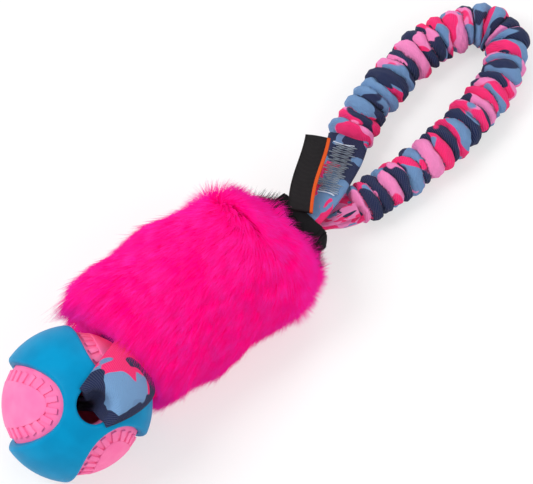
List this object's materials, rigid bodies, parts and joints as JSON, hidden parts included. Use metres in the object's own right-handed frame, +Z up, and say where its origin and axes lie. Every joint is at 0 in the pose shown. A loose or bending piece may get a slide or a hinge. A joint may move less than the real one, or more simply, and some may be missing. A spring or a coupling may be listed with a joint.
{
  "type": "bungee tug toy",
  "caption": "Tug toy: a windowed rubber ball on a webbing loop, a stuffed fur sleeve and a gathered elastic loop handle.",
  "frame": {"origin": "middle of the flat underside on which the fur sleeve rests", "axes": "+X along the toy from the ball towards the handle, +Z up as the toy lies on the floor, +Y to the left seen from the ball"},
  "size_m": [0.3655, 0.0912, 0.0765],
  "materials": {
    "blue_rubber": "moulded, satin",
    "pink_rubber": "moulded, satin",
    "strap_webbing": "camouflage printed tubular webbing",
    "magenta_fur": "long pile",
    "wadding": "fibre wadding",
    "black_tape": "woven binding tape",
    "dark_thread": "spun thread",
    "camo_webbing": "camouflage printed tubular webbing, gathered",
    "bungee": "covered rubber cord",
    "pale_thread": "spun thread",
    "label_cloth": "woven label"
  },
  "bodies": {
    "fur_body": {"fur_sleeve": "magenta_fur", "fur_filling": "wadding", "binding_tape": "black_tape", "tape_stitches": "dark_thread"},
    "strap_loop": {"ball_strap": "strap_webbing"},
    "ball": {"ball_shell": "blue_rubber", "inner_ball": "pink_rubber"},
    "handle": {"upper_sewn_end": "camo_webbing", "lower_sewn_end": "camo_webbing", "upper_leg_sleeve": "camo_webbing", "lower_leg_sleeve": "camo_webbing", "bungee_core": "bungee", "handle_stitches": "pale_thread"},
    "grip": {"grip_sleeve": "camo_webbing"},
    "label": {"label": "label_cloth"}
  },
  "joints": [
    {"name": "ball_swing", "type": "hinge", "parent": "fur_body", "child": "strap_loop", "pos_m": [-0.044, 0.0034, 0.0218], "axis": [0, 1, 0], "range_deg": [-50, 10], "deforming": ["ball_strap"]},
    {"name": "ball_turn", "type": "hinge", "parent": "strap_loop", "child": "ball", "pos_m": [-0.085, -0.007, 0.038], "axis": [-0.0459, -0.5588, 0.8281], "continuous": true},
    {"name": "handle_fold", "type": "hinge", "parent": "fur_body", "child": "handle", "pos_m": [0.0735, -0.00102, 0.0218], "axis": [0, -1, 0], "range_deg": [-80, 80], "deforming": ["upper_sewn_end", "lower_sewn_end", "handle_stitches"]},
    {"name": "bungee_stretch", "type": "slide", "parent": "handle", "child": "grip", "axis": [1, 0, 0], "range_m": [0, 0.06], "stiffness_N_per_m": 300, "deforming": ["upper_leg_sleeve", "lower_leg_sleeve", "bungee_core"]},
    {"name": "label_flap", "type": "hinge", "parent": "fur_body", "child": "label", "pos_m": [0.0709, 0.00042, 0.03158], "axis": [0.5878, -0.809, 0], "range_deg": [0, 75]}
  ]
}
